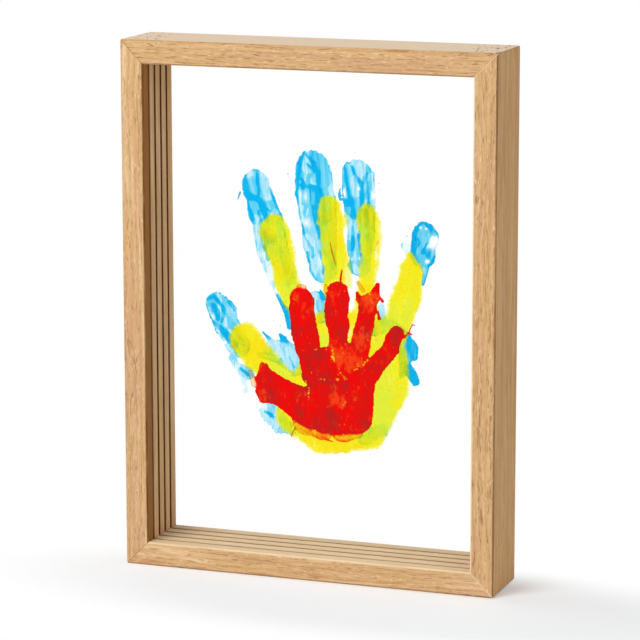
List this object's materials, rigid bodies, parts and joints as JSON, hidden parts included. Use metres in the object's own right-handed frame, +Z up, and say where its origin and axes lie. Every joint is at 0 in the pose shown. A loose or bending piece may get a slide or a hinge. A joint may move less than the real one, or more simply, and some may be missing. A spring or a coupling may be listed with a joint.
{
  "type": "layered handprint picture frame",
  "caption": "Deep mitred oak frame with a lift-off top rail; clear sheets slide into grooves one behind another, and painted handprints on them nest together.",
  "frame": {"origin": "middle of the underside, on the surface that the frame stands on", "axes": "+Z up, the front with the smallest print faces -Y, +X to the right seen from the front"},
  "size_m": [0.2328, 0.045, 0.3198],
  "materials": {
    "oak": "light oak, matt oil, open pores",
    "acrylic": "clear, polished",
    "red_paint": "hand paint, brushed and printed, satin",
    "yellow_paint": "hand paint, brushed and printed, satin",
    "blue_paint": "hand paint, brushed and printed, thin and streaky",
    "magnet_plating": "nickel plating",
    "steel": "bright drawn steel"
  },
  "bodies": {
    "frame": {"left_stile": "oak", "right_stile": "oak", "bottom_rail": "oak", "left_corner_nails": "steel", "right_corner_nails": "steel", "left_stile_magnets": "magnet_plating", "right_stile_magnets": "magnet_plating"},
    "lift_off_rail": {"top_rail": "oak", "top_rail_left_magnets": "magnet_plating", "top_rail_right_magnets": "magnet_plating", "left_locating_pin": "steel", "right_locating_pin": "steel"},
    "front_layer": {"front_sheet": "acrylic", "red_handprint": "red_paint"},
    "second_layer": {"second_sheet": "acrylic", "yellow_handprint": "yellow_paint"},
    "third_layer": {"third_sheet": "acrylic", "blue_handprint": "blue_paint"},
    "back_layer": {"back_sheet": "acrylic"}
  },
  "joints": [
    {"name": "top_rail_lift", "type": "slide", "parent": "frame", "child": "lift_off_rail", "axis": [0, 0, 1], "range_m": [0, 0.33]},
    {"name": "front_sheet_slide", "type": "slide", "parent": "frame", "child": "front_layer", "axis": [0, 0, 1], "range_m": [0, 0.31]},
    {"name": "second_sheet_slide", "type": "slide", "parent": "frame", "child": "second_layer", "axis": [0, 0, 1], "range_m": [0, 0.31]},
    {"name": "third_sheet_slide", "type": "slide", "parent": "frame", "child": "third_layer", "axis": [0, 0, 1], "range_m": [0, 0.31]},
    {"name": "back_sheet_slide", "type": "slide", "parent": "frame", "child": "back_layer", "axis": [0, 0, 1], "range_m": [0, 0.31]}
  ],
  "couplings": [
    {"joint": "front_sheet_slide", "follows": "top_rail_lift", "ratio": 0.939},
    {"joint": "second_sheet_slide", "follows": "top_rail_lift", "ratio": 0.939},
    {"joint": "third_sheet_slide", "follows": "top_rail_lift", "ratio": 0.939},
    {"joint": "back_sheet_slide", "follows": "top_rail_lift", "ratio": 0.939}
  ]
}
